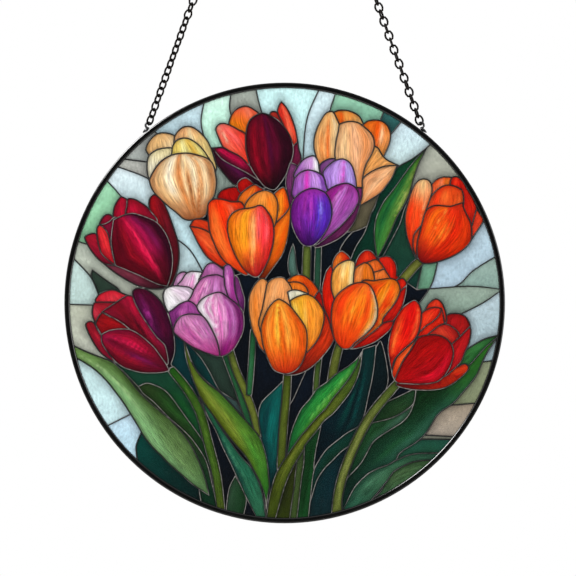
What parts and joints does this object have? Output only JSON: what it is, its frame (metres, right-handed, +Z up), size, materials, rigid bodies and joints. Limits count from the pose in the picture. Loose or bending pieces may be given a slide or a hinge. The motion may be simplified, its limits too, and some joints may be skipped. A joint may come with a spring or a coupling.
{
  "type": "stained glass suncatcher",
  "caption": "Round stained glass suncatcher: leaded tulips and leaves in a black metal rim, hung on a chain from wire loops on the rim.",
  "frame": {"origin": "the underside of the hanging link's top wire, where the hook carries the suncatcher", "axes": "+Z up, -Y towards the viewer (the picture's face), X across the picture; the panel is centred on X = 0"},
  "size_m": [0.2, 0.005, 0.3542],
  "materials": {
    "black_rim": "satin black, rolled metal channel",
    "black_solder": "raised solder with a black patina",
    "tinned_wire": "tinned wire",
    "black_chain": "blackened steel",
    "glass_crimson": "streaky art glass, softly translucent",
    "glass_red": "streaky art glass, softly translucent",
    "glass_orange": "streaky art glass, softly translucent",
    "glass_apricot": "streaky art glass, softly translucent",
    "glass_peach": "streaky art glass, softly translucent",
    "glass_cream": "streaky art glass, softly translucent",
    "glass_violet": "streaky art glass, softly translucent",
    "glass_pink": "streaky art glass, softly translucent",
    "glass_pale_green": "streaky art glass, softly translucent",
    "glass_deep_green": "streaky art glass, softly translucent",
    "glass_olive": "streaky art glass, softly translucent",
    "glass_teal": "streaky art glass, softly translucent",
    "glass_mist": "streaky art glass, softly translucent",
    "glass_night": "streaky art glass, softly translucent"
  },
  "bodies": {
    "root": {"broad_leaf_right": "glass_deep_green", "chain_left": "black_chain", "chain_right": "black_chain", "folded_leaf_right": "glass_deep_green", "fresh_leaf": "glass_pale_green", "hanging_link": "black_chain", "hanging_loop_left": "tinned_wire", "hanging_loop_right": "tinned_wire", "olive_leaf_left": "glass_olive", "olive_leaf_right": "glass_olive", "pale_leaf": "glass_pale_green", "rim": "black_rim", "sage_leaf_upper": "glass_teal", "shade_pane_1": "glass_night", "shade_pane_2": "glass_night", "shade_pane_3": "glass_night", "shade_pane_4": "glass_night", "shade_pane_5": "glass_night", "shade_pane_6": "glass_night", "shaded_leaf_left": "glass_deep_green", "shaded_leaf_right": "glass_deep_green", "sky_pane_1": "glass_mist", "sky_pane_10": "glass_mist", "sky_pane_11": "glass_mist", "sky_pane_12": "glass_mist", "sky_pane_13": "glass_mist", "sky_pane_14": "glass_mist", "sky_pane_15": "glass_mist", "sky_pane_16": "glass_mist", "sky_pane_17": "glass_mist", "sky_pane_18": "glass_mist", "sky_pane_2": "glass_mist", "sky_pane_3": "glass_mist", "sky_pane_4": "glass_mist", "sky_pane_5": "glass_mist", "sky_pane_6": "glass_mist", "sky_pane_7": "glass_mist", "sky_pane_8": "glass_mist", "sky_pane_9": "glass_mist", "solder_network": "black_solder", "stem_crimson_low": "glass_olive", "stem_red": "glass_olive", "tall_leaf": "glass_pale_green", "tall_leaf_dark_half": "glass_deep_green", "teal_leaf_centre": "glass_teal", "teal_leaf_left": "glass_teal", "tulip_apricot": "glass_apricot", "tulip_cream": "glass_cream", "tulip_crimson_left": "glass_crimson", "tulip_crimson_low": "glass_crimson", "tulip_crimson_top": "glass_crimson", "tulip_orange_centre": "glass_orange", "tulip_orange_right": "glass_orange", "tulip_orange_yellow": "glass_orange", "tulip_peach": "glass_peach", "tulip_pink": "glass_pink", "tulip_red": "glass_red", "tulip_violet": "glass_violet"}
  },
  "joints": []
}
